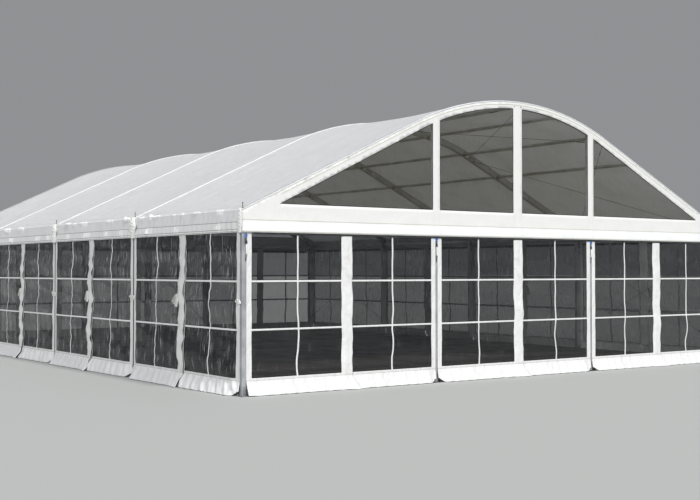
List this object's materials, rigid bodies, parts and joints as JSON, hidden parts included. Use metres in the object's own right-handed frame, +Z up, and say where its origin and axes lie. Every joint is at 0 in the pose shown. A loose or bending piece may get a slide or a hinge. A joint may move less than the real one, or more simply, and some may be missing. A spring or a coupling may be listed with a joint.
{
  "type": "frame marquee with curved roof and clear-panelled walls",
  "caption": "White curved-roof frame marquee with clear window curtains, clear gables, an arched aluminium frame and a boarded floor.",
  "frame": {"origin": "middle of the plan at ground level", "axes": "+X across the gable, +Y along the length towards the back gable, +Z up; the front gable faces -Y"},
  "size_m": [15.2552, 20.3432, 6.4907],
  "materials": {
    "extruded_aluminium": "mill finish, slightly dulled",
    "galvanised_wire": "dull galvanised",
    "white_coated_fabric": "satin coated fabric",
    "clear_film": "clear glossy film",
    "dark_floor_boards": "dark film-faced boards"
  },
  "bodies": {
    "root": {"clear_film_back": "clear_film", "clear_film_front": "clear_film", "clear_film_left": "clear_film", "clear_film_right": "clear_film", "curtain_back_1": "white_coated_fabric", "curtain_back_2": "white_coated_fabric", "curtain_back_3": "white_coated_fabric", "curtain_front_1": "white_coated_fabric", "curtain_front_2": "white_coated_fabric", "curtain_front_3": "white_coated_fabric", "curtain_left_1": "white_coated_fabric", "curtain_left_2": "white_coated_fabric", "curtain_left_3": "white_coated_fabric", "curtain_left_4": "white_coated_fabric", "curtain_right_1": "white_coated_fabric", "curtain_right_2": "white_coated_fabric", "curtain_right_3": "white_coated_fabric", "curtain_right_4": "white_coated_fabric", "eave_purlin_left": "extruded_aluminium", "eave_purlin_right": "extruded_aluminium", "floor": "dark_floor_boards", "gable_beam_back": "extruded_aluminium", "gable_beam_front": "extruded_aluminium", "gable_cover_back": "white_coated_fabric", "gable_cover_front": "white_coated_fabric", "gable_post_back_1": "extruded_aluminium", "gable_post_back_2": "extruded_aluminium", "gable_post_front_1": "extruded_aluminium", "gable_post_front_2": "extruded_aluminium", "portal_frame_1": "extruded_aluminium", "portal_frame_2": "extruded_aluminium", "portal_frame_3": "extruded_aluminium", "portal_frame_4": "extruded_aluminium", "portal_frame_5": "extruded_aluminium", "roof_purlin_1": "extruded_aluminium", "roof_purlin_2": "extruded_aluminium", "roof_purlin_3": "extruded_aluminium", "roof_purlin_4": "extruded_aluminium", "roof_purlin_5": "extruded_aluminium", "roof_purlin_6": "extruded_aluminium", "roof_purlin_7": "extruded_aluminium", "roof_sheet_1": "white_coated_fabric", "roof_sheet_2": "white_coated_fabric", "roof_sheet_3": "white_coated_fabric", "roof_sheet_4": "white_coated_fabric", "wall_brace_left_back_falling": "galvanised_wire", "wall_brace_left_back_rising": "galvanised_wire", "wall_brace_left_front_falling": "galvanised_wire", "wall_brace_left_front_rising": "galvanised_wire", "wall_brace_right_back_falling": "galvanised_wire", "wall_brace_right_back_rising": "galvanised_wire", "wall_brace_right_front_falling": "galvanised_wire", "wall_brace_right_front_rising": "galvanised_wire"}
  },
  "joints": []
}
